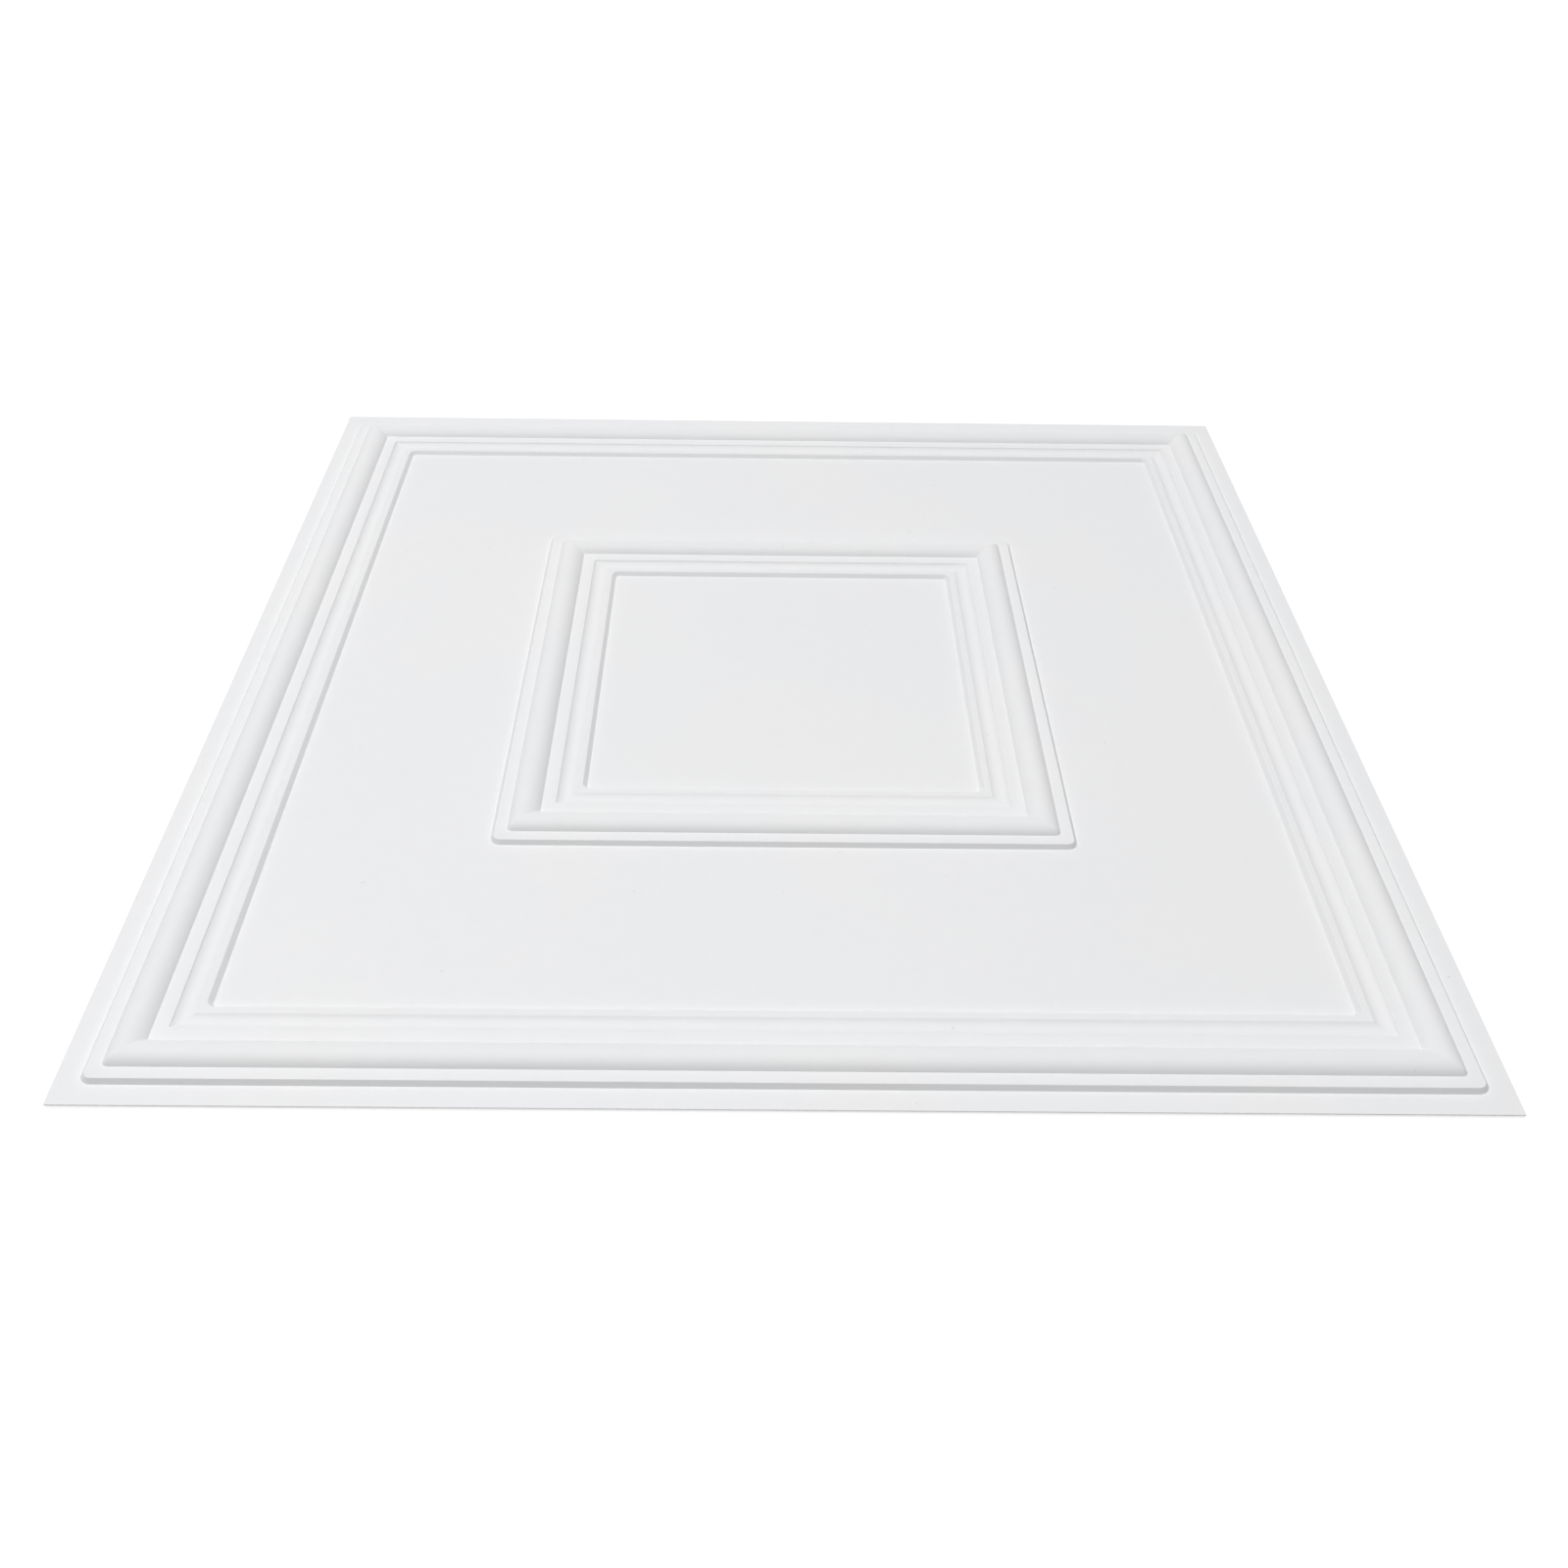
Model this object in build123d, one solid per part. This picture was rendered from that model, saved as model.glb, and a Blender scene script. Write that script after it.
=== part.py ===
"""Lay-in drop ceiling tile, vacuum formed in one piece from white PVC sheet.

A flat border lies on the ceiling grid. Inside it one moulding section runs round the tile twice, as a
large frame and as a small one, with a plain field between them and a plain panel in the middle. Each frame
lets the ground inside it down a little, as a coffer does. The sheet has the same thickness everywhere, so
the back is hollow behind each moulding. The tile lies face up: X and Y run along its sides, Z is up, and
the origin is the middle of the panel's back.
"""

from build123d import *

import os

# Tile, millimetres
TILE_SIDE = 603.0  # 23 3/4 in, for a 2 ft x 2 ft grid
SHEET = 0.7  # thickness of the formed sheet
BORDER = 10.3  # flat rim that lies on the grid, from the edge to the foot of the step
FIELD_WIDTH = 104.8  # plain band between the large frame and the small frame

# Moulding section, from the outside of a frame to its inside; rises are above the ground outside the frame
STEP_RISE = 2.3
STEP_RUN = 1.7
SHELF_WIDTH = 5.9
TORUS_RISE = 5.7
TORUS_OUTER = 6.7  # from the torus's outer foot to its crest
TORUS_INNER = 8.1  # from the crest to its inner foot
FILLET_RISE = 1.9
FILLET_WIDTH = 6.9
QUIRK_RUN = 0.2
QUIRK_DROP = 0.35  # small step from the fillet down to the scoop
SCOOP_WIDTH = 8.4
SCOOP_DEPTH = 1.35
LIP_WIDTH = 3.4
POCKET_RUN = 2.1
SINK = 0.6  # how far the ground inside a frame lies below the ground outside it

# Bends of the sheet, radii on the face side
RIDGE_BEND = 0.8
VALLEY_BEND = 0.4
QUIRK_BEND = 0.15

# Plan radii of the corners of each frame
STEP_CORNER = 5.2
TORUS_CORNER = 2.8
SCOOP_CORNER = 1.2
POCKET_CORNER = 2.0

HALF = TILE_SIDE / 2
LIP_RISE = FILLET_RISE - QUIRK_DROP
FRAME_WIDTH = (
    STEP_RUN + SHELF_WIDTH + TORUS_OUTER + TORUS_INNER + FILLET_WIDTH
    + QUIRK_RUN + SCOOP_WIDTH + LIP_WIDTH + POCKET_RUN
)
FRAME_STARTS = (BORDER, BORDER + FRAME_WIDTH + FIELD_WIDTH)
BORDER_LEVEL = SHEET + SINK * len(FRAME_STARTS)
GROUNDS = (BORDER_LEVEL, BORDER_LEVEL - SINK)  # face levels outside the large frame and the small one
ROOM = 3 * (BORDER_LEVEL + TORUS_RISE)  # working room above and below the sheet


def frame_stations(start):
    """Distances from the tile's edge to the corners of a frame's section, from outside to inside."""
    step_top = start + STEP_RUN
    torus_outer = step_top + SHELF_WIDTH
    torus_crest = torus_outer + TORUS_OUTER
    torus_inner = torus_crest + TORUS_INNER
    fillet_edge = torus_inner + FILLET_WIDTH
    scoop_outer = fillet_edge + QUIRK_RUN
    lip_outer = scoop_outer + SCOOP_WIDTH
    lip_inner = lip_outer + LIP_WIDTH
    return {
        "step_foot": start,
        "step_top": step_top,
        "torus_outer": torus_outer,
        "torus_crest": torus_crest,
        "torus_inner": torus_inner,
        "fillet_edge": fillet_edge,
        "scoop_outer": scoop_outer,
        "lip_outer": lip_outer,
        "lip_inner": lip_inner,
        "pocket_foot": lip_inner + POCKET_RUN,
    }


def frame_points(start, ground):
    """The corners of a frame's face line: distance out from the tile's middle, and height."""
    rises = {
        "step_foot": 0.0,
        "step_top": STEP_RISE,
        "torus_outer": STEP_RISE,
        "torus_crest": TORUS_RISE,
        "torus_inner": FILLET_RISE,
        "fillet_edge": FILLET_RISE,
        "scoop_outer": LIP_RISE,
        "lip_outer": LIP_RISE,
        "lip_inner": LIP_RISE,
        "pocket_foot": -SINK,
    }
    stations = frame_stations(start)
    return {name: (HALF - stations[name], ground + rise) for name, rise in rises.items()}


def frame_edges(start, ground, crisp):
    """The line of one frame, from the foot of its step to the foot of its pocket, with the quirk if crisp."""
    p = frame_points(start, ground)
    scoop_middle = (p["scoop_outer"][0] + p["lip_outer"][0]) / 2
    scoop_floor = (scoop_middle, p["lip_outer"][1] - SCOOP_DEPTH)
    edges = [
        Line(p["step_foot"], p["step_top"]),
        Line(p["step_top"], p["torus_outer"]),
        TangentArc(p["torus_crest"], p["torus_outer"], tangent=(1, 0)),
        TangentArc(p["torus_crest"], p["torus_inner"], tangent=(-1, 0)),
        Line(p["torus_inner"], p["fillet_edge"]),
        Line(p["lip_outer"], p["lip_inner"]),
        Line(p["lip_inner"], p["pocket_foot"]),
    ]
    if crisp:
        edges.append(Line(p["fillet_edge"], p["scoop_outer"]))
        edges.append(ThreePointArc(p["scoop_outer"], scoop_floor, p["lip_outer"]))
    else:
        edges.append(ThreePointArc(p["fillet_edge"], scoop_floor, p["lip_outer"]))
    return edges


def below_face(crisp):
    """Everything below the tile's face line, drawn past the edge and past the middle."""
    first = (HALF + ROOM, BORDER_LEVEL)
    edges = []
    reached = first
    for start, ground in zip(FRAME_STARTS, GROUNDS):
        points = frame_points(start, ground)
        edges.append(Line(reached, points["step_foot"]))
        edges.extend(frame_edges(start, ground, crisp))
        reached = points["pocket_foot"]
    last = (-ROOM, reached[1])
    edges.append(Line(reached, last))
    edges.append(Polyline(last, (-ROOM, -ROOM), (HALF + ROOM, -ROOM), first))
    return make_face(edges)


def bend(face, places, radius):
    """Rounds the corners of the face line at those places."""
    wanted = [Vector(*place) for place in places]
    corners = [v for v in face.vertices() if any((Vector(*v) - place).length < 1e-3 for place in wanted)]
    return fillet(corners, radius)


def bent_body(crisp):
    """Everything below the face line, with every bend of the sheet rounded."""
    body = below_face(crisp)
    for start, ground in zip(FRAME_STARTS, GROUNDS):
        p = frame_points(start, ground)
        ridges = [p["step_top"], p["lip_outer"], p["lip_inner"]]
        valleys = [p["step_foot"], p["torus_outer"], p["torus_inner"], p["pocket_foot"]]
        if crisp:
            body = bend(body, [p["fillet_edge"], p["scoop_outer"]], QUIRK_BEND)
        else:
            ridges.append(p["fillet_edge"])
        body = bend(body, ridges, RIDGE_BEND)
        body = bend(body, valleys, VALLEY_BEND)
    return body


def trued(section):
    """The same section with its ends put on whole millionths, so that level runs are truly level."""
    edges = []
    for edge in section.edges():
        start, middle, end = [
            (round(point.X, 6), round(point.Y, 6)) for point in (edge @ 0, edge @ 0.5, edge @ 1)
        ]
        if edge.geom_type == GeomType.LINE:
            edges.append(Line(start, end))
        else:
            edges.append(ThreePointArc(start, middle, end))
    return make_face(edges)


def sheet_section():
    """The sheet cut across one side, from the tile's centre to its edge, with the quirk on the face alone."""
    hollow = offset(bent_body(crisp=False), -SHEET)
    window = Pos(HALF / 2, 0) * Rectangle(HALF, ROOM)
    return trued((bent_body(crisp=True) - hollow) & window)


def mitred_side(section):
    """Half of one side, run along Y from the middle of the tile to the mitre at the corner."""
    run = extrude(Plane.XZ * section, amount=HALF, dir=(0, 1, 0))
    mitre = Polyline((0, 0), (HALF, 0), (HALF, HALF), close=True)
    return run & extrude(make_face(mitre), amount=ROOM)


def turned_corner(section, station, radius):
    """The sheet at one rounded corner of a frame, turned about the corner's own upright axis."""
    centre = HALF - station - radius
    reach = radius * 2**0.5
    strip = section & Pos(centre + reach / 2, 0) * Rectangle(reach, ROOM)
    turn = Axis((centre, centre, 0), (0, 0, 1))
    turned = revolve(Pos(0, centre, 0) * Plane.XZ * strip, turn, 90)
    return turned & corner_block(station, radius)


def corner_block(station, radius):
    """The square block that a rounded corner takes up."""
    centre = HALF - station - radius
    return Pos(centre, centre, 0) * Box(radius, radius, ROOM, align=(Align.MIN, Align.MIN, Align.MIN))


def frame_corners(start):
    """Where the rounded corners of one frame begin, and their plan radii."""
    s = frame_stations(start)
    return [
        (s["step_foot"], STEP_CORNER),
        (s["torus_outer"], TORUS_CORNER),
        (s["fillet_edge"], SCOOP_CORNER),
        (s["lip_inner"], POCKET_CORNER + POCKET_RUN),
    ]


def quarter():
    """One quarter of the tile, with the corners of both frames."""
    section = sheet_section()
    side = mitred_side(section)
    sheet = side + mirror(side, Plane((0, 0, 0), x_dir=(0, 0, 1), z_dir=(1, -1, 0)))
    for start in FRAME_STARTS:
        for station, radius in frame_corners(start):
            sheet = sheet - corner_block(station, radius)
            sheet = sheet + turned_corner(section, station, radius)
    return sheet


def ceiling_tile():
    """The whole tile: four quarters of one sheet."""
    corner = quarter()
    tile = corner
    for turn in (90, 180, 270):
        tile = tile + Rot(0, 0, turn) * corner
    return tile


os.makedirs("parts", exist_ok=True)
export_step(ceiling_tile(), "parts/ceiling_tile.step")
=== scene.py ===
"""Looks of a lay-in ceiling tile that is vacuum formed from thin white PVC sheet.

The tile lies face up on a pale studio floor. Its sheet is rebuilt here at a finer grain than the solid
model, with every bend of the forming tool rounded. The face gets a matt moulded finish, the back a
smoother one and the cut edge a trimmed one. Lengths are in metres.
"""

import logging
import math
from dataclasses import dataclass, field
from enum import Enum

import bpy
import numpy as np
from mathutils import Matrix, Vector


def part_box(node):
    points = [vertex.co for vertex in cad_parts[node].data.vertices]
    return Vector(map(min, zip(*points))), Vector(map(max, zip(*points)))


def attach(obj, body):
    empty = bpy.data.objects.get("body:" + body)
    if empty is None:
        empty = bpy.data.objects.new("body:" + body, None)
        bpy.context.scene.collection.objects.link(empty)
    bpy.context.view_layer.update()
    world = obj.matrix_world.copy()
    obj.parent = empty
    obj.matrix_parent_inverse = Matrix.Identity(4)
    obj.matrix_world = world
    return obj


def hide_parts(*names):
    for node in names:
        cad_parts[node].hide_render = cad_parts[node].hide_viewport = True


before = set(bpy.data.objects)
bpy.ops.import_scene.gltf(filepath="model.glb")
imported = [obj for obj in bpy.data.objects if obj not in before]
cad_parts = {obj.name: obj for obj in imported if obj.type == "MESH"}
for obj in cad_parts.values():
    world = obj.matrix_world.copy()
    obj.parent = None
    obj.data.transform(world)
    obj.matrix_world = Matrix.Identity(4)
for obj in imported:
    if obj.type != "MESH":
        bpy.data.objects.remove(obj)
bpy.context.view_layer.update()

NODE = "ceiling_tile"
MM = 0.001
PVC_IOR = 1.53  # refractive index of rigid PVC
NOISE_MEAN = 0.5  # the value that a noise texture swings about

Colour = tuple[float, float, float]
Point = tuple[float, float, float]
Socket = bpy.types.NodeSocket

log = logging.getLogger("ceiling_tile")


def placed(name: str, data: bpy.types.ID) -> bpy.types.Object:
    """Puts a new object in the scene.

    Args:
        name: Name of the object.
        data: Its mesh, lamp or camera.

    Returns:
        The object.
    """
    made = bpy.data.objects.new(name, data)
    bpy.context.scene.collection.objects.link(made)
    return made


def seen_directly(tree: bpy.types.NodeTree) -> Socket:
    """Adds a mask of what the camera sees straight, mirrored or through something clear.

    Args:
        tree: The nodes to add it to.

    Returns:
        One for such rays, and zero for the rays that light a matt surface.
    """
    path = tree.nodes.new("ShaderNodeLightPath")
    mask = path.outputs["Is Camera Ray"]
    for kind in ("Is Glossy Ray", "Is Transmission Ray"):
        both = tree.nodes.new("ShaderNodeMath")
        both.operation = "MAXIMUM"
        tree.links.new(mask, both.inputs[0])
        tree.links.new(path.outputs[kind], both.inputs[1])
        mask = both.outputs["Value"]
    return mask


class Side(Enum):
    """The three kinds of surface that the formed sheet has, by material slot number."""

    FACE = 0
    BACK = 1
    EDGE = 2


@dataclass
class FaceLine:
    """The tile's face cut across one side: distances in from the tile's edge, and heights above the border.

    Attributes:
        spacing: Distance between neighbouring points while the line is being drawn.
        points: The points of the line, from the edge inwards.
    """

    spacing: float
    points: list[tuple[float, float]] = field(default_factory=lambda: [(0.0, 0.0)])

    def run(self, distance: float, height: float) -> None:
        """Draws a straight run to a new point.

        Args:
            distance: Distance of the run's end from the tile's edge.
            height: Height of the run's end above the border.
        """
        old_distance, old_height = self.points[-1]
        onward, up = distance - old_distance, height - old_height
        steps = max(1, round(math.hypot(onward, up) / self.spacing))
        for i in range(1, steps + 1):
            share = i / steps
            self.points.append((old_distance + onward * share, old_height + up * share))

    def arc(self, distance: float, height: float, bulge: float) -> None:
        """Draws a round arc to a new point.

        Args:
            distance: Distance of the arc's end from the tile's edge.
            height: Height of the arc's end above the border.
            bulge: How far the middle of the arc stands off its chord, up if positive.
        """
        old_distance, old_height = self.points[-1]
        onward, up = distance - old_distance, height - old_height
        chord = math.hypot(onward, up)
        radius = (chord * chord / 4 + bulge * bulge) / (2 * abs(bulge))
        along = (onward / chord, up / chord)
        off = (-along[1], along[0])
        sign = math.copysign(1.0, bulge)
        drop = radius - abs(bulge)
        half_angle = math.asin(min(1.0, chord / 2 / radius))
        steps = max(1, round(2 * half_angle * radius / self.spacing))
        for i in range(1, steps + 1):
            angle = -half_angle + 2 * half_angle * i / steps
            x = chord / 2 + radius * math.sin(angle)
            y = sign * (radius * math.cos(angle) - drop)
            self.points.append((
                old_distance + along[0] * x + off[0] * y,
                old_height + along[1] * x + off[1] * y,
            ))

    def brow(self, distance: float, height: float) -> None:
        """Draws a round arc to a new point, level at its upper end.

        Args:
            distance: Distance of the arc's end from the tile's edge.
            height: Height of the arc's end above the border.
        """
        old_distance, old_height = self.points[-1]
        onward, up = distance - old_distance, height - old_height
        half_angle = math.atan2(abs(up), abs(onward))
        radius = math.hypot(onward, up) / 2 / math.sin(half_angle)
        self.arc(distance, height, radius * (1 - math.cos(half_angle)))

    def bent(self, reach: float) -> np.ndarray:
        """Rounds every corner, as a hot sheet drawn over a tool does.

        Args:
            reach: Length of line over which a corner is spread.

        Returns:
            The rounded line, as rows of distance and height.
        """
        line = np.array(self.points)
        window = max(1, round(reach / self.spacing)) | 1
        padded = np.pad(line, ((window // 2, window // 2), (0, 0)), mode="reflect", reflect_type="odd")
        total = np.cumsum(np.vstack([np.zeros((1, 2)), padded]), axis=0)
        return (total[window:] - total[:-window]) / window


@dataclass
class Moulding:
    """The section that runs round the tile twice, from the outside of a frame to its inside.

    Attributes:
        step_rise: Height of the shelf above the ground outside the frame.
        step_run: How far the outer step leans in over its height.
        shelf: Width of the flat outside the torus.
        torus_rise: Height of the torus above the ground outside the frame.
        torus_outer: Width of the torus outside its crest.
        torus_inner: Width of the torus inside its crest.
        fillet_rise: Height of the fillet above the ground outside the frame.
        fillet: Width of the fillet inside the torus.
        quirk_run: How far the small step beside the scoop leans in.
        quirk_drop: Height of that step.
        scoop: Width of the hollow scoop.
        scoop_depth: Depth of the scoop below the lip.
        lip: Width of the flat inside the scoop.
        pocket_run: How far the inner step leans in over its height.
        sink: How far the ground inside the frame lies below the ground outside it.
        step_corner: Plan radius of the step's corners, at its foot.
        torus_corner: Plan radius of the torus's outer corners.
        scoop_corner: Plan radius of the scoop's outer corners.
        pocket_corner: Plan radius of the pocket's corners, at its foot.
        mitre_corner: Plan radius left on the mitres between them.
    """

    step_rise: float = 2.3 * MM
    step_run: float = 1.7 * MM
    shelf: float = 5.9 * MM
    torus_rise: float = 5.7 * MM
    torus_outer: float = 6.7 * MM
    torus_inner: float = 8.1 * MM
    fillet_rise: float = 1.9 * MM
    fillet: float = 6.9 * MM
    quirk_run: float = 0.2 * MM
    quirk_drop: float = 0.35 * MM
    scoop: float = 8.4 * MM
    scoop_depth: float = 1.35 * MM
    lip: float = 3.4 * MM
    pocket_run: float = 2.1 * MM
    sink: float = 0.6 * MM
    step_corner: float = 5.2 * MM
    torus_corner: float = 2.8 * MM
    scoop_corner: float = 1.2 * MM
    pocket_corner: float = 2.0 * MM
    mitre_corner: float = 0.4 * MM

    def widths(self) -> dict[str, float]:
        """The widths of the section's parts, from outside to inside.

        Returns:
            Each width, under the name of the section's corner where that part ends.
        """
        return {
            "step_top": self.step_run,
            "torus_outer": self.shelf,
            "crest": self.torus_outer,
            "torus_inner": self.torus_inner,
            "fillet_edge": self.fillet,
            "scoop_outer": self.quirk_run,
            "lip_outer": self.scoop,
            "lip_inner": self.lip,
            "pocket_foot": self.pocket_run,
        }

    def width(self) -> float:
        """The whole width of the moulding."""
        return sum(self.widths().values())

    def stations(self, start: float) -> dict[str, float]:
        """Distances from the tile's edge to the section's corners.

        Args:
            start: Distance from the tile's edge to the foot of the outer step.

        Returns:
            The distance of each named corner.
        """
        found = {"step_foot": start}
        reached = start
        for name, width in self.widths().items():
            reached += width
            found[name] = reached
        return found

    def draw(self, line: FaceLine, start: float, ground: float) -> float:
        """Draws the moulding onto a face line that has come to the foot of its outer step.

        Args:
            line: The face line to go on with.
            start: Distance from the tile's edge to the foot of the outer step.
            ground: Height of the ground outside the frame.

        Returns:
            Height of the ground inside the frame.
        """
        s = self.stations(start)
        shelf, fillet = ground + self.step_rise, ground + self.fillet_rise
        lip = fillet - self.quirk_drop
        line.run(s["step_top"], shelf)
        line.run(s["torus_outer"], shelf)
        line.brow(s["crest"], ground + self.torus_rise)
        line.brow(s["torus_inner"], fillet)
        line.run(s["fillet_edge"], fillet)
        line.run(s["scoop_outer"], lip)
        line.arc(s["lip_outer"], lip, -self.scoop_depth)
        line.run(s["lip_inner"], lip)
        line.run(s["pocket_foot"], ground - self.sink)
        return ground - self.sink

    def corner_radii(self, start: float) -> list[tuple[float, float]]:
        """Plan radii of the frame's corners.

        Args:
            start: Distance from the tile's edge to the foot of the outer step.

        Returns:
            Pairs of distance from the tile's edge and plan radius, to be joined by straight lines.
        """
        s = self.stations(start)
        keep = self.mitre_corner
        return [
            (s["step_foot"], self.step_corner),
            (s["step_top"], self.step_corner - self.step_run),
            (s["torus_outer"], self.torus_corner),
            (s["torus_outer"] + self.torus_corner - keep, keep),
            (s["torus_inner"], keep),
            (s["fillet_edge"], self.scoop_corner),
            (s["fillet_edge"] + self.scoop_corner - keep, keep),
            (s["lip_outer"], keep),
            (s["lip_inner"], self.pocket_corner + self.pocket_run),
            (s["pocket_foot"], self.pocket_corner),
        ]


@dataclass(frozen=True)
class PvcFinish:
    """One finish of the white PVC sheet.

    Attributes:
        name: Name of the material.
        colour: Base colour, linear.
        pale: Colour of the paler patches, linear.
        roughness: Roughness of the plain surface.
        grain: Height of the fine moulded grain.
        ripple: Height of the slow unevenness of the sheet.
        depth: How far light spreads inside the plastic, or zero.
    """

    name: str
    colour: Colour
    pale: Colour
    roughness: float
    grain: float
    ripple: float
    depth: float

    def material(self, surface: bpy.types.NodeTree) -> bpy.types.Material:
        """Makes the material.

        Args:
            surface: The node group that holds the sheet's surface detail.

        Returns:
            The new material.
        """
        made = bpy.data.materials.new(self.name)
        made.use_nodes = True
        nodes, links = made.node_tree.nodes, made.node_tree.links
        shader = nodes["Principled BSDF"]
        shader.inputs["IOR"].default_value = PVC_IOR
        if self.depth:
            shader.inputs["Subsurface Weight"].default_value = 1.0
            shader.inputs["Subsurface Radius"].default_value = (1.0, 1.0, 1.0)
            shader.inputs["Subsurface Scale"].default_value = self.depth
        detail = nodes.new("ShaderNodeGroup")
        detail.node_tree = surface
        detail.inputs["Colour"].default_value = (*self.colour, 1.0)
        detail.inputs["Pale Colour"].default_value = (*self.pale, 1.0)
        detail.inputs["Roughness"].default_value = self.roughness
        detail.inputs["Grain"].default_value = self.grain
        detail.inputs["Ripple"].default_value = self.ripple
        # The group's height is in metres already, so the bump takes it as it is.
        bump = nodes.new("ShaderNodeBump")
        bump.inputs["Strength"].default_value = 1.0
        bump.inputs["Distance"].default_value = 1.0
        links.new(detail.outputs["Colour"], shader.inputs["Base Color"])
        links.new(detail.outputs["Roughness"], shader.inputs["Roughness"])
        links.new(detail.outputs["Height"], bump.inputs["Height"])
        links.new(bump.outputs["Normal"], shader.inputs["Normal"])
        return made


@dataclass
class SheetSurface:
    """The node group with the sheet's grain and peel, slow ripple, pale patches, mottling and stray specks.

    Attributes:
        patch_size: Size of the pale patches.
        patch_range: Noise values at which a patch starts and is full.
        mottle_size: Size of the mottling.
        mottle_share: Share of the dull colour where the mottling is strongest.
        dull: Colour that the mottling drifts towards, linear.
        speck_size: Size of the noise whose peaks are the specks.
        speck_range: Noise values at which a speck starts and is full.
        speck_share: Share of the dark colour in a full speck.
        dark: Colour that the specks drift towards, linear.
        roughness_swing: Change of roughness from the least mottling to the strongest.
        grain_size: Size of the fine grain.
        peel_size: Size of the coarser grain over it, as on orange peel.
        peel_weight: Height of the peel against that of the fine grain.
        ripple_size: Size of the slow ripple.
        tree: The node group.
        given: The node that brings the group's inputs in.
        result: The node that takes its outputs.
        place: Where on the tile a point lies.
    """

    patch_size: float = 160 * MM
    patch_range: tuple[float, float] = (0.35, 0.65)
    mottle_size: float = 9 * MM
    mottle_share: float = 0.08
    dull: Colour = (0.62, 0.62, 0.63)
    speck_size: float = 4 * MM
    speck_range: tuple[float, float] = (0.80, 0.84)
    speck_share: float = 0.25
    dark: Colour = (0.42, 0.41, 0.40)
    roughness_swing: float = 0.12
    grain_size: float = 0.45 * MM
    peel_size: float = 1.6 * MM
    peel_weight: float = 2.2
    ripple_size: float = 70 * MM
    tree: bpy.types.NodeTree = field(init=False)
    given: bpy.types.Node = field(init=False)
    result: bpy.types.Node = field(init=False)
    place: Socket = field(init=False)

    def __post_init__(self) -> None:
        """Makes the group and its sockets."""
        self.tree = bpy.data.node_groups.new("pvc_sheet_surface", "ShaderNodeTree")
        self.add_sockets("INPUT", "NodeSocketColor", "Colour", "Pale Colour")
        self.add_sockets("INPUT", "NodeSocketFloat", "Roughness", "Grain", "Ripple")
        self.add_sockets("OUTPUT", "NodeSocketColor", "Colour")
        self.add_sockets("OUTPUT", "NodeSocketFloat", "Roughness", "Height")
        self.given = self.tree.nodes.new("NodeGroupInput")
        self.result = self.tree.nodes.new("NodeGroupOutput")
        self.place = self.tree.nodes.new("ShaderNodeTexCoord").outputs["Object"]

    def add_sockets(self, way: str, kind: str, *names: str) -> None:
        """Adds sockets of one kind to the group.

        Args:
            way: INPUT or OUTPUT.
            kind: The kind of socket, as Blender names it.
            names: Names of the sockets.
        """
        for name in names:
            self.tree.interface.new_socket(name, in_out=way, socket_type=kind)

    def feed(self, slot: Socket, value: Socket | float | tuple[float, ...]) -> None:
        """Gives a slot its value.

        Args:
            slot: The slot.
            value: A socket to link to it, or a number or four colour numbers to set it to.
        """
        if isinstance(value, Socket):
            self.tree.links.new(value, slot)
        else:
            slot.default_value = value

    def noise(self, size: float, detail: float, roughness: float) -> Socket:
        """Adds a noise texture.

        Args:
            size: Size of the largest marks.
            detail: Number of finer layers.
            roughness: Weight of the finer layers.

        Returns:
            The noise's value.
        """
        made = self.tree.nodes.new("ShaderNodeTexNoise")
        made.inputs["Scale"].default_value = 1.0 / size
        made.inputs["Detail"].default_value = detail
        made.inputs["Roughness"].default_value = roughness
        self.feed(made.inputs["Vector"], self.place)
        return made.outputs["Fac"]

    def maths(self, operation: str, first: Socket | float, second: Socket | float) -> Socket:
        """Adds a sum of two values.

        Args:
            operation: Name of the sum, as the Math node has it.
            first: The first value.
            second: The second value.

        Returns:
            The result.
        """
        made = self.tree.nodes.new("ShaderNodeMath")
        made.operation = operation
        self.feed(made.inputs[0], first)
        self.feed(made.inputs[1], second)
        return made.outputs["Value"]

    def spread(self, value: Socket, ends: tuple[float, float], most: float) -> Socket:
        """Stretches part of a value's range.

        Args:
            value: The value.
            ends: Where the stretched range starts and ends.
            most: What it reaches at its end, from zero.

        Returns:
            The stretched value.
        """
        made = self.tree.nodes.new("ShaderNodeMapRange")
        made.interpolation_type = "SMOOTHSTEP"
        self.feed(made.inputs["Value"], value)
        made.inputs["From Min"].default_value = ends[0]
        made.inputs["From Max"].default_value = ends[1]
        made.inputs["To Max"].default_value = most
        return made.outputs["Result"]

    def mixed(self, share: Socket, first: Socket, second: Socket | tuple[float, ...]) -> Socket:
        """Mixes two colours.

        Args:
            share: How much of the second colour there is.
            first: The first colour.
            second: The second colour, a socket or four numbers.

        Returns:
            The mixed colour.
        """
        made = self.tree.nodes.new("ShaderNodeMix")
        made.data_type = "RGBA"
        self.feed(made.inputs["Factor"], share)
        self.feed(made.inputs["A"], first)
        self.feed(made.inputs["B"], second)
        return made.outputs["Result"]

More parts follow.
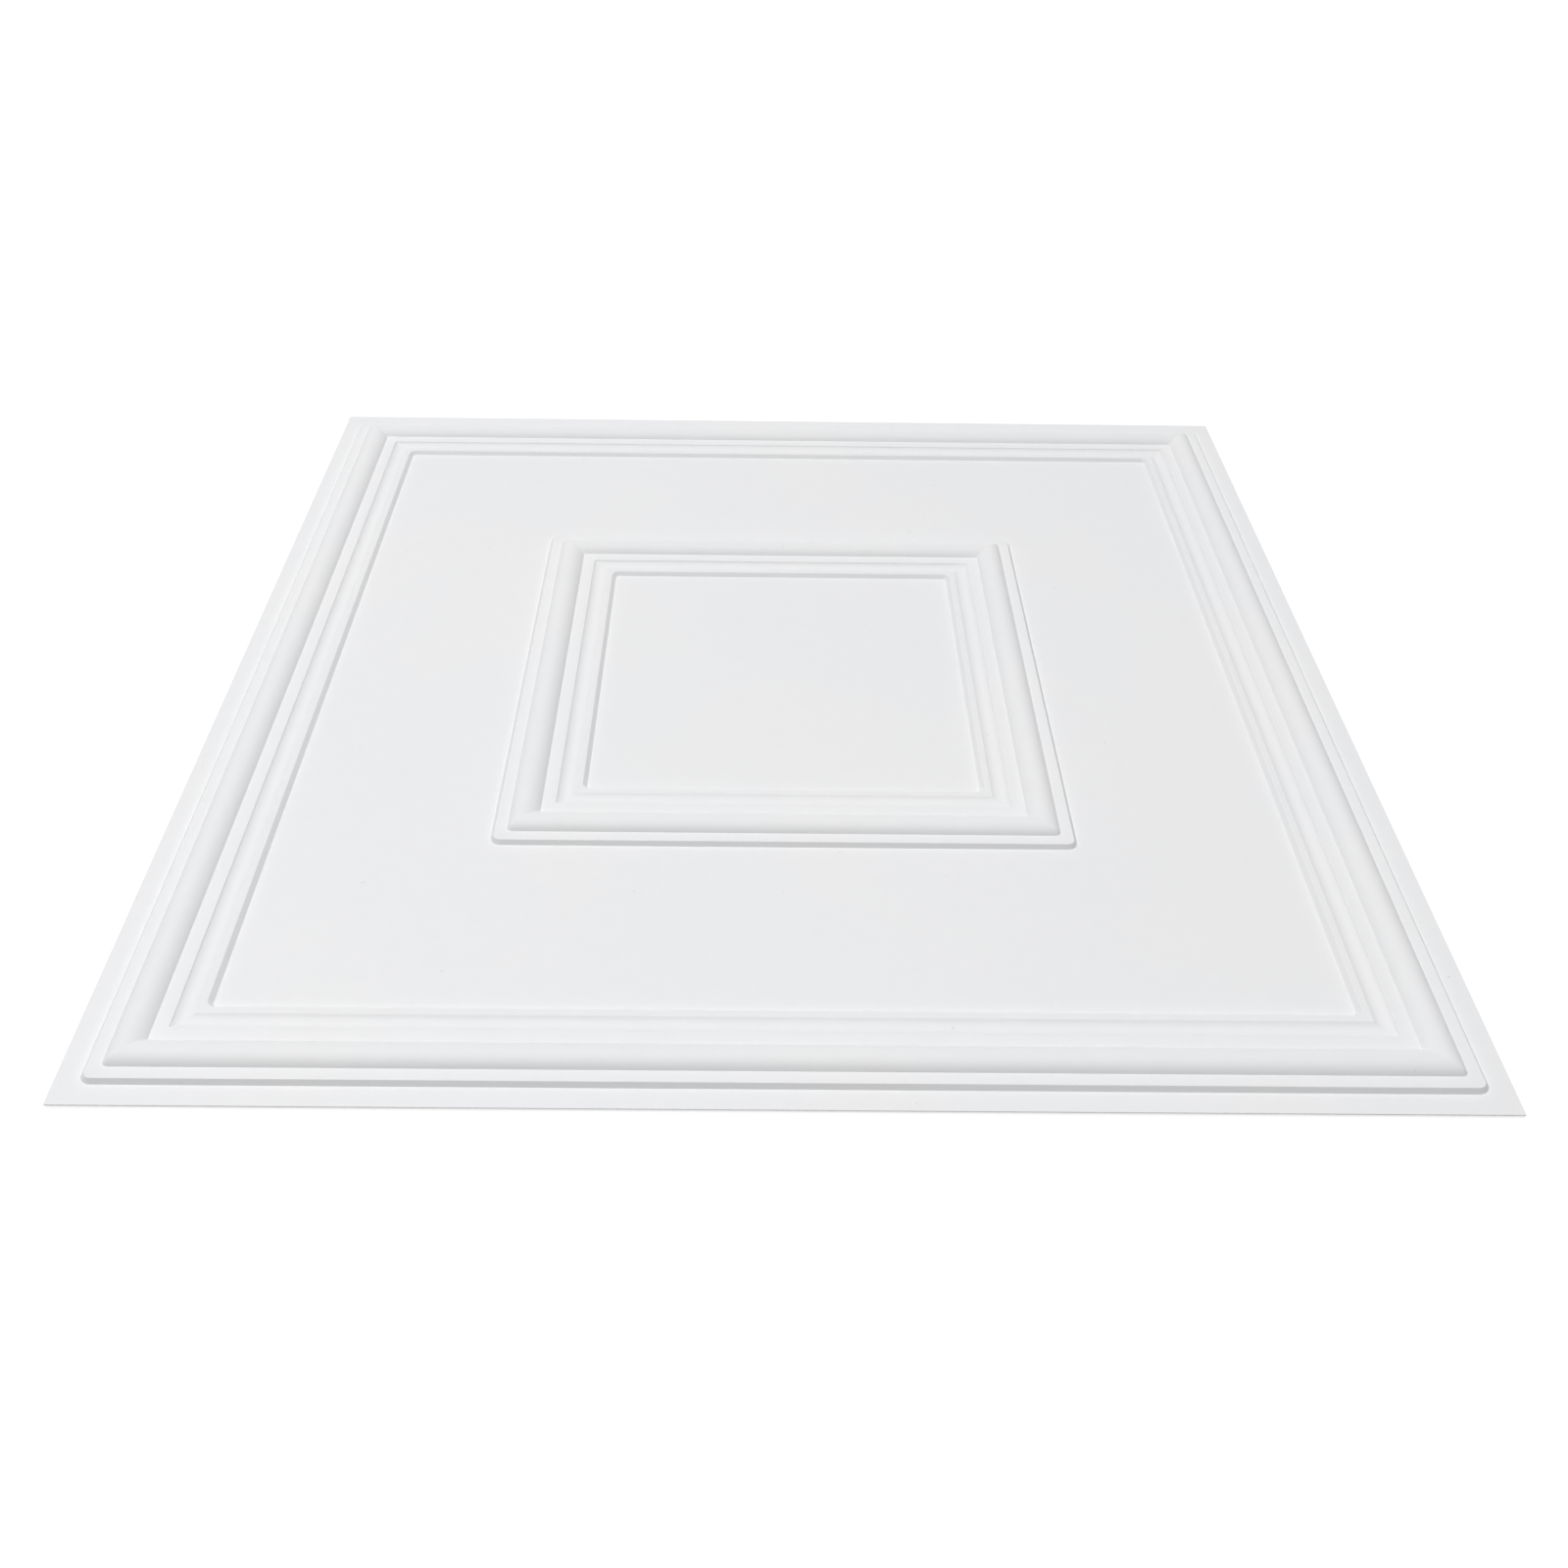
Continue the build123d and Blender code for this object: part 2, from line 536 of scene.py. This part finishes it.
    def tint(self, mottle: Socket) -> Socket:
        """Colours the sheet.

        Args:
            mottle: The mottling's noise.

        Returns:
            The colour with its patches, mottling and specks.
        """
        patches = self.noise(self.patch_size, detail=2.0, roughness=0.5)
        patch_share = self.spread(patches, self.patch_range, 1.0)
        tint = self.mixed(patch_share, self.given.outputs["Colour"], self.given.outputs["Pale Colour"])
        dull_share = self.maths("MULTIPLY", mottle, self.mottle_share)
        tint = self.mixed(dull_share, tint, (*self.dull, 1.0))
        peaks = self.noise(self.speck_size, detail=1.0, roughness=0.4)
        specks = self.spread(peaks, self.speck_range, self.speck_share)
        return self.mixed(specks, tint, (*self.dark, 1.0))

    def height(self) -> Socket:
        """Shapes the sheet's fine relief.

        Returns:
            The height of the grain, the peel and the ripple together.
        """
        fine = self.noise(self.grain_size, detail=2.0, roughness=0.6)
        coarse = self.noise(self.peel_size, detail=1.0, roughness=0.5)
        peel = self.maths("MULTIPLY", coarse, self.peel_weight)
        grain = self.maths("MULTIPLY", self.maths("ADD", fine, peel), self.given.outputs["Grain"])
        slow = self.noise(self.ripple_size, detail=1.0, roughness=0.5)
        ripple = self.maths("MULTIPLY", slow, self.given.outputs["Ripple"])
        return self.maths("ADD", grain, ripple)

    def build(self) -> bpy.types.NodeTree:
        """Wires the group.

        Returns:
            The finished group.
        """
        mottle = self.noise(self.mottle_size, detail=3.0, roughness=0.6)
        swing = self.maths("MULTIPLY", self.maths("SUBTRACT", mottle, NOISE_MEAN), self.roughness_swing)
        roughness = self.maths("ADD", self.given.outputs["Roughness"], swing)
        self.feed(self.result.inputs["Colour"], self.tint(mottle))
        self.feed(self.result.inputs["Roughness"], roughness)
        self.feed(self.result.inputs["Height"], self.height())
        return self.tree


@dataclass
class FormedSheet:
    """The tile itself: one sheet, drawn over a tool with two frames of the same moulding.

    Attributes:
        side: Length of each side of the tile.
        sheet: Thickness of the sheet.
        border: Width of the flat rim outside the large frame.
        plain_field: Width of the plain band between the two frames.
        moulding: Section of both frames.
        face_bend: Length of sheet over which a corner bends on the face.
        back_bend: Length of sheet over which it bends on the back, where the tool's corners show less.
        least_corner: Smallest plan radius of a corner on the back.
        spacing: Distance between the points of the drawn face line.
        tolerance: How far the mesh may leave that line.
        guard: Distance from a bend at which a flat gets a holding line.
        along: Number of mesh steps along each straight side.
        round_corner: Number of mesh steps round each corner.
        middle: Half the side of the flat square left in the middle of the panel.
        crease: Angle between two mesh faces, in degrees, above which the edge stays sharp.
    """

    side: float
    sheet: float = 0.7 * MM
    border: float = 10.3 * MM
    plain_field: float = 104.8 * MM
    moulding: Moulding = field(default_factory=Moulding)
    face_bend: float = 0.3 * MM
    back_bend: float = 1.6 * MM
    least_corner: float = 0.1 * MM
    spacing: float = 0.02 * MM
    tolerance: float = 0.003 * MM
    guard: float = 0.5 * MM
    along: int = 20
    round_corner: int = 6
    middle: float = 30 * MM
    crease: float = 50.0

    def frame_starts(self) -> list[float]:
        """Distances from the tile's edge to the two frames."""
        return [self.border, self.border + self.moulding.width() + self.plain_field]

    def face_line(self) -> FaceLine:
        """Draws the face from the tile's edge to the middle of its panel, with sharp corners.

        Returns:
            The drawn line.
        """
        line = FaceLine(self.spacing)
        ground = 0.0
        for start in self.frame_starts():
            line.run(start, ground)
            ground = self.moulding.draw(line, start, ground)
        line.run(self.side / 2 - self.middle, ground)
        return line

    def thinned(self, line: np.ndarray) -> list[int]:
        """Picks the points of a line that its shape needs, and holding points beside the bends.

        Args:
            line: Rows of distance and height.

        Returns:
            Numbers of the rows to keep.
        """
        keep = {0, len(line) - 1}
        stretches = [(0, len(line) - 1)]
        while stretches:
            first, last = stretches.pop()
            if last - first < 2:
                continue
            chord = line[last] - line[first]
            off = line[first + 1:last] - line[first]
            miss = np.abs(off[:, 0] * chord[1] - off[:, 1] * chord[0]) / np.hypot(*chord)
            worst = int(miss.argmax())
            if miss[worst] > self.tolerance:
                between = first + 1 + worst
                keep.add(between)
                stretches += [(first, between), (between, last)]
        rows = sorted(keep)
        step = round(self.guard / self.spacing)
        for first, last in zip(rows, rows[1:]):
            if last - first > 3 * step:
                keep |= {first + step, last - step}
        return sorted(keep)

    def corner_radius(self, distance: float) -> float:
        """Plan radius of the corners of a ring on the face.

        Args:
            distance: Distance of the ring from the tile's edge.

        Returns:
            The radius.
        """
        table = [(0.0, self.moulding.mitre_corner)]
        for start in self.frame_starts():
            table += self.moulding.corner_radii(start)
        distances, radii = zip(*table)
        return float(np.interp(distance, distances, radii))

    def rings(self, side: Side) -> list[tuple[float, float, float]]:
        """The rings of the mesh on one side of the sheet, from the edge inwards.

        Args:
            side: The face or the back.

        Returns:
            For each ring, its distance from the tile's edge, corner radius and height above the border.
        """
        line = self.face_line().bent(self.face_bend if side is Side.FACE else self.back_bend)
        depth = 0.0 if side is Side.FACE else self.sheet
        run = np.gradient(line, axis=0)
        run /= np.hypot(run[:, 0], run[:, 1])[:, None]
        made = []
        for row in self.thinned(line):
            (distance, height), (along, up) = line[row], run[row]
            inwards = depth * up
            radius = max(self.corner_radius(distance) - inwards, self.least_corner)
            made.append((distance + inwards, radius, height - depth * along))
        return made

    def ring(self, distance: float, radius: float, height: float) -> list[Point]:
        """The points of a square ring with rounded corners.

        Args:
            distance: Distance of the ring from the tile's edge.
            radius: Plan radius of its corners.
            height: Height of the ring.

        Returns:
            The points, anticlockwise from the far end of the right side.
        """
        half = self.side / 2 - distance
        straight = half - radius
        quarter = []
        for i in range(self.round_corner + 1):
            angle = math.pi / 2 * i / self.round_corner
            quarter.append((straight + radius * math.cos(angle), straight + radius * math.sin(angle)))
        for i in range(1, self.along):
            quarter.append((straight - 2 * straight * i / self.along, half))
        points = []
        for cosine, sine in ((1, 0), (0, 1), (-1, 0), (0, -1)):
            points += [(cosine * x - sine * y, sine * x + cosine * y, height) for x, y in quarter]
        return points

    def skin(self, face_rings: int, all_rings: int, count: int) -> tuple[list[tuple[int, ...]], list[int]]:
        """Joins the rings up: the face inwards, then the back outwards, closed along the cut edge.

        Args:
            face_rings: Number of rings on the face.
            all_rings: Number of rings on the face and the back together.
            count: Number of points in each ring.

        Returns:
            The mesh faces, as point numbers, and the material slot number of each.
        """
        faces, slots = [], []
        for ring in range(all_rings):
            after = (ring + 1) % all_rings
            if after == face_rings:
                continue
            side = Side.EDGE if after == 0 else Side.FACE if after < face_rings else Side.BACK
            for i in range(count):
                j = (i + 1) % count
                faces.append((ring * count + i, ring * count + j, after * count + j, after * count + i))
                slots.append(side.value)
        inmost = (face_rings - 1) * count
        faces.append(tuple(inmost + i for i in range(count)))
        slots.append(Side.FACE.value)
        faces.append(tuple(inmost + count + i for i in reversed(range(count))))
        slots.append(Side.BACK.value)
        return faces, slots

    def build(self) -> bpy.types.Object:
        """Makes the sheet's mesh, with the back of the panel on the floor.

        Returns:
            The tile's object, with no finish yet.
        """
        face, back = self.rings(Side.FACE), self.rings(Side.BACK)
        lift = -min(height for _, _, height in back)
        rows = face + back[::-1]
        rings = [self.ring(distance, radius, height + lift) for distance, radius, height in rows]
        faces, slots = self.skin(len(face), len(rings), len(rings[0]))
        mesh = bpy.data.meshes.new("formed_sheet")
        mesh.from_pydata([point for ring in rings for point in ring], [], faces)
        mesh.polygons.foreach_set("material_index", slots)
        mesh.shade_smooth()
        mesh.set_sharp_from_angle(angle=math.radians(self.crease))
        mesh.update()
        return placed("formed_sheet", mesh)

    def dress(self, piece: bpy.types.Object, finishes: dict[Side, PvcFinish]) -> None:
        """Gives the sheet its finishes and ties it to the solid model.

        Args:
            piece: The sheet.
            finishes: The finish of each kind of surface.
        """
        surface = SheetSurface().build()
        for side in Side:
            piece.data.materials.append(finishes[side].material(surface))
        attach(piece, "root")
        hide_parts(NODE)


@dataclass
class StudioFloor:
    """The pale floor that the tile lies on.

    Attributes:
        size: Length of each side of the floor.
        colour: Diffuse colour, linear grey.
        veil: Share of plain white in what the camera sees of it, which leaves a pale shadow.
        white: Level of that white.
    """

    size: float = 5.0
    colour: float = 0.80
    veil: float = 0.70
    white: float = 1.22

    def build(self) -> bpy.types.Object:
        """Makes the floor and its finish.

        Returns:
            The floor's object.
        """
        half = self.size / 2
        corners = [(-half, -half, 0.0), (half, -half, 0.0), (half, half, 0.0), (-half, half, 0.0)]
        mesh = bpy.data.meshes.new("studio_floor")
        mesh.from_pydata(corners, [], [(0, 1, 2, 3)])
        mesh.materials.append(self.material())
        made = placed("studio_floor", mesh)
        return made

    def material(self) -> bpy.types.Material:
        """Makes a matt floor that is white to the camera and keeps its shadows.

        Returns:
            The new material.
        """
        made = bpy.data.materials.new("floor_white")
        made.use_nodes = True
        nodes, links = made.node_tree.nodes, made.node_tree.links
        nodes.clear()
        matt = nodes.new("ShaderNodeBsdfDiffuse")
        matt.inputs["Color"].default_value = (self.colour, self.colour, self.colour, 1.0)
        glow = nodes.new("ShaderNodeEmission")
        glow.inputs["Strength"].default_value = self.white
        seen = nodes.new("ShaderNodeMath")
        seen.operation = "MULTIPLY"
        seen.inputs[1].default_value = self.veil
        links.new(seen_directly(made.node_tree), seen.inputs[0])
        both = nodes.new("ShaderNodeMixShader")
        links.new(seen.outputs["Value"], both.inputs["Fac"])
        links.new(matt.outputs["BSDF"], both.inputs[1])
        links.new(glow.outputs["Emission"], both.inputs[2])
        out = nodes.new("ShaderNodeOutputMaterial")
        links.new(both.outputs["Shader"], out.inputs["Surface"])
        return made


@dataclass
class SoftLight:
    """One large soft lamp above the tile.

    Attributes:
        name: Name of the lamp.
        azimuth: Direction it stands in, in degrees anticlockwise from the tile's right.
        elevation: Height of that direction above the floor, in degrees.
        reach: Distance from the tile's centre.
        size: Length of each side of the lamp.
        level: Light that it gives the tile's face, where 1 shows a colour as it is written.
        aim: Where it is pointed, which makes the light even or lets it fall off along the tile.
    """

    name: str
    azimuth: float
    elevation: float
    reach: float
    size: float
    level: float
    aim: Point

    def build(self) -> bpy.types.Object:
        """Makes the lamp.

        Returns:
            The lamp's object.
        """
        turn, lift = math.radians(self.azimuth), math.radians(self.elevation)
        way = Vector((math.cos(lift) * math.cos(turn), math.cos(lift) * math.sin(turn), math.sin(lift)))
        lamp = bpy.data.lights.new(self.name, "AREA")
        lamp.shape = "SQUARE"
        lamp.size = self.size
        made = placed(self.name, lamp)
        made.location = way * self.reach
        back = (made.location - Vector(self.aim)).normalized()
        made.rotation_euler = back.to_track_quat("Z", "Y").to_euler()
        # The power that a lamp needs for that level, taken as small beside its distance.
        lamp.energy = self.level * math.pi * math.pi * self.reach**2 / way.z / back.dot(way)
        return made


@dataclass
class Surroundings:
    """Even light from all round.

    Attributes:
        level: Strength of that light, where 1 shows a colour as it is written.
    """

    level: float

    def build(self) -> bpy.types.World:
        """Makes the world: a little light on the tile, and white to the camera and in reflections.

        Returns:
            The world.
        """
        world = bpy.data.worlds.new("studio")
        bpy.context.scene.world = world
        world.use_nodes = True
        nodes, links = world.node_tree.nodes, world.node_tree.links
        back = nodes["Background"]
        seen = nodes.new("ShaderNodeMapRange")
        seen.inputs["To Min"].default_value = self.level
        seen.inputs["To Max"].default_value = 1.0
        links.new(seen_directly(world.node_tree), seen.inputs["Value"])
        back.inputs["Color"].default_value = (1.0, 1.0, 1.0, 1.0)
        links.new(seen.outputs["Result"], back.inputs["Strength"])
        return world


@dataclass
class PhotoCamera:
    """The camera that took the photograph.

    Attributes:
        place: Where it stood.
        forward: The way it looked.
        right: The way that the picture's right edge points.
        focal: Focal length, in picture widths.
        shift: How far the picture was cropped off centre, in picture widths.
        nearest: Distance from which on it shows things.
    """

    place: Point
    forward: Point
    right: Point
    focal: float
    shift: tuple[float, float]
    nearest: float = 10 * MM

    def build(self) -> bpy.types.Object:
        """Makes the camera and takes it into use.

        Returns:
            The camera's object.
        """
        lens = bpy.data.cameras.new("photo_camera")
        lens.sensor_fit = "HORIZONTAL"
        lens.lens = self.focal * lens.sensor_width
        lens.clip_start = self.nearest
        lens.shift_x, lens.shift_y = self.shift
        look = Vector(self.forward).normalized()
        right = Vector(self.right)
        right = (right - look * right.dot(look)).normalized()
        up = right.cross(look)
        turn = Matrix((right, up, -look)).transposed().to_4x4()
        made = placed("photo_camera", lens)
        made.matrix_world = Matrix.Translation(self.place) @ turn
        bpy.context.scene.camera = made
        return made


FINISHES = {
    Side.FACE: PvcFinish(
        name="white_pvc_face",
        colour=(0.841, 0.847, 0.866),
        pale=(0.851, 0.852, 0.856),
        roughness=0.66,
        grain=0.010 * MM,
        ripple=0.05 * MM,
        depth=0.0,
    ),
    Side.BACK: PvcFinish(
        name="white_pvc_back",
        colour=(0.831, 0.837, 0.853),
        pale=(0.841, 0.842, 0.845),
        roughness=0.36,
        grain=0.003 * MM,
        ripple=0.05 * MM,
        depth=0.0,
    ),
    Side.EDGE: PvcFinish(
        name="white_pvc_edge",
        colour=(0.846, 0.850, 0.862),
        pale=(0.856, 0.856, 0.858),
        roughness=0.60,
        grain=0.020 * MM,
        ripple=0.0,
        depth=1.5 * MM,
    ),
}
LAMP = SoftLight(
    name="key_softbox",
    azimuth=160,
    elevation=80,
    reach=7.0,
    size=4.0,
    level=0.958,
    aim=(-2.5, -3.0, 0.0),
)
SURROUNDINGS = Surroundings(level=0.03)
CAMERA = PhotoCamera(
    place=(-0.01425, -0.69635, 0.50675),
    forward=(0.00838, 0.76498, -0.64400),
    right=(0.99993, -0.00067, 0.01222),
    focal=0.98475,
    shift=(0.0099, 0.0006),
)


def main() -> None:
    """Builds the tile, the floor, the lamp, the surroundings and the camera."""
    logging.basicConfig(level=logging.INFO, format="%(name)s: %(message)s")
    bpy.context.scene.view_settings.view_transform = "Standard"
    low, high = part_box(NODE)
    sheet = FormedSheet(side=high[0] - low[0])
    piece = sheet.build()
    sheet.dress(piece, FINISHES)
    log.info("formed sheet: %d points, %d faces", len(piece.data.vertices), len(piece.data.polygons))
    log.info("floor: %s", StudioFloor().build().name)
    log.info("lamp: %s", LAMP.build().name)
    log.info("surroundings: %s", SURROUNDINGS.build().name)
    log.info("camera: %s", CAMERA.build().name)


if __name__ == "__main__":
    main()
